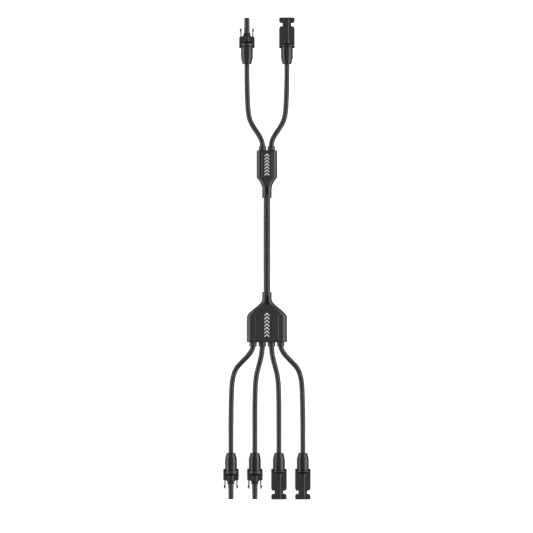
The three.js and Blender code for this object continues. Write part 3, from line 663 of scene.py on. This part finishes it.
def fewer_faces(data):
    holder = bpy.data.objects.new(data.name, data)
    bpy.context.scene.collection.objects.link(holder)
    holder.modifiers.new("fewer", "DECIMATE").ratio = FACES_KEPT
    depsgraph = bpy.context.evaluated_depsgraph_get()
    thinner = bpy.data.meshes.new_from_object(holder.evaluated_get(depsgraph))
    bpy.data.objects.remove(holder)
    bpy.data.meshes.remove(data)
    return thinner


def surface_of(name, field, low, high, cell):
    """The field's surface as a mesh, with its points and normals in the field's own frame."""
    low, high = np.array(low, float), np.array(high, float)
    counts = np.ceil((high - low) / cell).astype(int) + 1
    axes = [low[i] + cell * np.arange(counts[i]) for i in range(3)]
    x, y, z = np.meshgrid(*axes, indexing="ij")
    values = np.empty(tuple(counts), np.float32)
    for i in range(0, counts[0], LAYERS_AT_ONCE):
        part = slice(i, i + LAYERS_AT_ONCE)
        values[part] = field(x[part], y[part], z[part])
    grid = openvdb.FloatGrid(FIELD_REACH)
    grid.copyFromArray(np.clip(values, -FIELD_REACH, FIELD_REACH))
    points, triangles, quads = grid.convertToPolygons(isovalue=0.0, adaptivity=0.0)
    data = bpy.data.meshes.new(name)
    data.from_pydata((points * cell + low).tolist(), [], triangles.tolist() + quads.tolist())
    thinner = fewer_faces(data)
    p = np.empty(len(thinner.vertices) * 3)
    thinner.vertices.foreach_get("co", p)
    p = settle(field, p.reshape(-1, 3))
    normals = gradient(field, p, step=0.06)
    normals /= np.maximum(np.linalg.norm(normals, axis=1), 1e-9)[:, None]
    return thinner, p, normals


def placed_mesh(name, surface, to_world):
    """A copy of a surface put where it goes, facing outwards, with the field's own normals."""
    data = surface[0].copy()
    data.name = name
    placed, turned = to_world(surface[1], surface[2])
    data.vertices.foreach_set("co", placed.ravel())
    data.update()
    flipper = bmesh.new()
    flipper.from_mesh(data)
    if flipper.calc_volume(signed=True) < 0:
        bmesh.ops.reverse_faces(flipper, faces=flipper.faces)
        flipper.to_mesh(data)
    flipper.free()
    data.shade_smooth()
    data.normals_split_custom_set_from_vertices(turned.tolist())
    return data


# ---------------------------------------------------------------- placing pieces

def add_piece(data, body, slot, node=None, material=None):
    piece = bpy.data.objects.new(data.name, data)
    bpy.context.scene.collection.objects.link(piece)
    data.materials.append(MATERIALS[material or slot])
    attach(piece, body)
    if node:
        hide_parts(node)


def connector_placer(name, side=1):
    """From a connector's own x, u, z in millimetres to the scene's metres, with x on the side given."""
    low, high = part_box(name + "_housing")
    facing = 1 if high.y > 0 else -1
    tip = high.y if facing > 0 else low.y
    centre_x, axis_z = (low.x + high.x) / 2, (low.z + high.z) / 2
    across = facing * side

    def to_world(p, normals):
        placed = np.stack([centre_x + across * p[:, 0] * MM, tip - facing * p[:, 1] * MM,
                           axis_z + p[:, 2] * MM], 1)
        turned = np.stack([across * normals[:, 0], -facing * normals[:, 1], normals[:, 2]], 1)
        return placed, turned
    return to_world


def junction_placer(j):
    """From a junction's own x, v, z in millimetres to the scene's metres."""
    def to_world(p, normals):
        placed = np.stack([p[:, 0], j.towards * p[:, 1], j.axis + p[:, 2]], 1) * MM
        turned = np.stack([normals[:, 0], j.towards * normals[:, 1], normals[:, 2]], 1)
        return placed, turned
    return to_world


# ---------------------------------------------------------------- turned pieces

# The sections of the turned pieces are (r, u) points, in order round the section. The nut's point halfway
# along its cylinder keeps the shading straight.
NUT_SECTION = [
    (5.9, 35.4), (6.95, 35.4), (7.25, 35.8), (7.25, 42.0), (7.25, 49.0), (5.65, 55.95), (5.2, 56.5),
    (3.6, 56.5), (3.3, 56.1), (3.3, 53.7), (4.66, 53.3), (5.9, 47.5),
]
GLAND_SECTION = [(3.22, 37.4), (4.5, 37.4), (4.5, 43.6), (3.22, 43.6)]
TUBE_SECTION = [
    (2.03, 2.2), (2.45, 2.2), (2.45, 18.9), (2.0, 19.5), (2.0, 34.1), (0.02, 34.1), (0.02, 17.0),
    (2.03, 17.0),
]
PIN_SECTION = [
    (0.02, 9.0), (0.7, 9.05), (1.25, 9.4), (1.75, 10.2), (2.0, 11.2), (2.0, 24.2), (2.45, 24.3), (2.45, 25.9),
    (2.0, 26.5), (2.0, 34.1), (0.02, 34.1),
]
O_RING_R = 4.0
O_RING_U = 19.7
O_RING_HALF_T = 0.45
O_RING_HALF_LENGTH = 1.1
O_RING_STEPS = 24
SHARP_ANGLE = 40


def soften(section, radius, steps=4):
    """A closed section with its corners rounded."""
    out = []
    count = len(section)
    for i in range(count):
        a, b, c = (np.array(section[(i + k) % count], float) for k in (-1, 0, 1))
        before, after = a - b, c - b
        near, far = np.linalg.norm(before), np.linalg.norm(after)
        cut = min(radius, near * 0.45, far * 0.45)
        start, end = b + before / near * cut, b + after / far * cut
        for t in np.linspace(0, 1, steps + 1):
            out.append((1 - t) ** 2 * start + 2 * t * (1 - t) * b + t * t * end)
    return out


def o_ring_section():
    angles = np.linspace(0, 2 * math.pi, O_RING_STEPS, endpoint=False)
    return [(O_RING_R + O_RING_HALF_T * math.cos(a), O_RING_U + O_RING_HALF_LENGTH * math.sin(a))
            for a in angles]


def lathe(name, section, segments, to_world):
    angles = np.linspace(0, 2 * math.pi, segments, endpoint=False)
    points = np.array([(r * math.cos(a), u, r * math.sin(a)) for a in angles for r, u in section])
    count = len(section)
    faces = []
    for i in range(segments):
        j = (i + 1) % segments
        for k in range(count):
            m = (k + 1) % count
            faces.append((i * count + k, i * count + m, j * count + m, j * count + k))
    placed, _ = to_world(points, points)
    data = bpy.data.meshes.new(name)
    data.from_pydata(placed.tolist(), [], faces)
    worker = bmesh.new()
    worker.from_mesh(data)
    bmesh.ops.remove_doubles(worker, verts=worker.verts, dist=1e-7)
    bmesh.ops.recalc_face_normals(worker, faces=worker.faces)
    worker.to_mesh(data)
    worker.free()
    data.shade_smooth()
    data.set_sharp_from_angle(angle=math.radians(SHARP_ANGLE))
    return data


# ---------------------------------------------------------------- connectors

HOUSING_ROOM = ((-10.2, -0.6, -8.1), (10.2, 44.6, 8.1))
FINGER_ROOM = ((6.1, 12.0, -3.0), (9.4, 26.7, 3.0))
HOUSING_CELL = 0.15
FINGER_CELL = 0.1

SURFACES = {
    "probe": surface_of("probe_shape", probe_housing, *HOUSING_ROOM, HOUSING_CELL),
    "socket": surface_of("socket_shape", socket_housing, *HOUSING_ROOM, HOUSING_CELL),
    "finger": surface_of("finger_shape", latch_finger, *FINGER_ROOM, FINGER_CELL),
}


def connector(name, kind):
    to_world = connector_placer(name)

    def turned(piece_name, section, segments, slot, node, body="harness"):
        data = lathe(f"{name}_{piece_name}", section, segments, to_world)
        add_piece(data, body, slot, f"{name}_{node}")

    housing = placed_mesh(name + "_moulding", SURFACES[kind], to_world)
    add_piece(housing, "harness", "housing", name + "_housing")
    turned("gland_nut", soften(NUT_SECTION, radius=0.35), 96, "nut", "cap_nut", body=name + "_nut")
    turned("gland_rubber", soften(GLAND_SECTION, radius=0.5), 64, "seal", "gland_seal")
    if kind == "socket":
        turned("pin", soften(PIN_SECTION, radius=0.12), 48, "contact", "contact_pin")
        return
    turned("o_ring", o_ring_section(), 72, "seal", "seal_ring")
    turned("receiving_tube", soften(TUBE_SECTION, radius=0.12), 48, "contact", "contact_socket")
    for side_name, side in (("left", -1), ("right", 1)):
        finger = placed_mesh(f"{name}_spring_{side_name}", SURFACES["finger"], connector_placer(name, side))
        add_piece(finger, f"{name}_{side_name}_finger", "latch", f"{name}_latch_{side_name}")


for connector_name, connector_kind in CONNECTORS.items():
    connector(connector_name, connector_kind)


# ---------------------------------------------------------------- junctions

JUNCTION_CELL = 0.2
JUNCTION_MARGIN = 0.6


def junction(j):
    low = (-j.half_w - JUNCTION_MARGIN, j.neck - JUNCTION_MARGIN, -j.axis - JUNCTION_MARGIN)
    high = (j.half_w + JUNCTION_MARGIN, j.boss_end + JUNCTION_MARGIN, j.axis + JUNCTION_MARGIN)
    surface = surface_of(j.name + "_shape", junction_field(j), low, high, JUNCTION_CELL)
    data = placed_mesh(j.name + "_moulding", surface, junction_placer(j))
    add_piece(data, "harness", "junction", j.name + "_body")


junction(TOP)
junction(BRANCH)


# ---------------------------------------------------------------- printed marks

MARK_THICK = 0.05
MARK_RISE = 0.42


def mark(j, from_y, to_y, width, stroke, count=7):
    """A row of plain chevrons printed on a junction's panel, pointing along the cable."""
    worker = bmesh.new()
    pitch = (to_y - from_y) / count
    rise = pitch * MARK_RISE
    panel_z = 2 * j.axis
    for i in range(count):
        y = from_y + pitch * (i + 0.5)
        outline = [
            (-width / 2, y - rise), (0, y + rise - stroke / 2), (width / 2, y - rise),
            (width / 2, y - rise + stroke), (0, y + rise + stroke / 2), (-width / 2, y - rise + stroke),
        ]
        lower, upper = ([worker.verts.new((x * MM, py * MM, z * MM)) for x, py in outline]
                        for z in (panel_z - MARK_THICK, panel_z + MARK_THICK))
        for order in ((0, 1, 4, 5), (1, 2, 3, 4)):
            worker.faces.new([upper[k] for k in order])
            worker.faces.new([lower[k] for k in reversed(order)])
        for k in range(6):
            m = (k + 1) % 6
            worker.faces.new([lower[k], lower[m], upper[m], upper[k]])
    bmesh.ops.recalc_face_normals(worker, faces=worker.faces)
    data = bpy.data.meshes.new(j.name + "_mark")
    worker.to_mesh(data)
    worker.free()
    add_piece(data, "harness", "junction", material="mark")


mark(TOP, 100.5, 127.5, width=5.6, stroke=1.5)
mark(BRANCH, -96.5, -66.5, width=5.9, stroke=1.6)


# ---------------------------------------------------------------- carried-over nodes

# The pieces whose CAD shapes stay, by the ends of their nodes' names
SLOTS = {
    "clamp_collet": "collet",
    "splice_carrier": "carrier",
    "probe_splice": "contact",
    "socket_splice": "contact",
}
for node_name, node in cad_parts.items():
    for ending, slot_name in SLOTS.items():
        if node_name.endswith(ending):
            node.data.materials.clear()
            node.data.materials.append(MATERIALS[slot_name])


# ---------------------------------------------------------------- stage and light

FLOOR_REACH = 6.0
FLOOR_DROP = 0.0002
FLOOR_GLOW = 0.92

# Name, place, the light's own width and height, and strength
SOFTBOXES = [
    ("left_softbox", (-0.99, 0.0, 0.35), (2.4, 0.62), 15.5),
    ("right_softbox", (0.944, 0.0, 0.46), (2.4, 0.95), 23.5),
    ("low_left", (-1.0, 0.0, -0.35), (2.4, 0.6), 6.0),
    ("overhead", (0.0, 0.2, 1.6), (0.7, 1.6), 1.4),
]
SOFTBOX_AIM = Vector((0.0, 0.0, 0.007))


def make_floor():
    """A white floor that lights itself evenly, and neither lights the object nor shows in its gloss."""
    data = bpy.data.meshes.new("floor")
    corners = [(-1, -1), (1, -1), (1, 1), (-1, 1)]
    data.from_pydata([(x * FLOOR_REACH, y * FLOOR_REACH, 0) for x, y in corners], [], [(0, 1, 2, 3)])
    floor = bpy.data.objects.new("floor", data)
    bpy.context.scene.collection.objects.link(floor)
    floor.location.z = -FLOOR_DROP
    material = bpy.data.materials.new("floor_white")
    material.use_nodes = True
    shader = material.node_tree.nodes["Principled BSDF"].inputs
    shader["Base Color"].default_value = (0.8, 0.8, 0.8, 1.0)
    shader["Roughness"].default_value = 0.9
    shader["Emission Color"].default_value = (1.0, 1.0, 1.0, 1.0)
    shader["Emission Strength"].default_value = FLOOR_GLOW
    data.materials.append(material)
    floor.visible_diffuse = False
    floor.visible_glossy = False
    floor.visible_shadow = False


def softbox(name, place, size, strength):
    data = bpy.data.lights.new(name, "AREA")
    data.shape = "RECTANGLE"
    data.size, data.size_y = size
    data.energy = strength
    light = bpy.data.objects.new(name, data)
    light.location = place
    light.rotation_mode = "QUATERNION"
    light.rotation_quaternion = (SOFTBOX_AIM - Vector(place)).to_track_quat("-Z", "Y")
    light.visible_camera = False
    bpy.context.scene.collection.objects.link(light)


def make_world():
    world = bpy.data.worlds.new("world")
    bpy.context.scene.world = world
    world.use_nodes = True
    background = world.node_tree.nodes["Background"].inputs
    background["Color"].default_value = (0.82, 0.9, 1.0, 1.0)
    background["Strength"].default_value = 0.03


make_floor()
for box in SOFTBOXES:
    softbox(*box)
make_world()
bpy.context.scene.view_settings.view_transform = "Standard"
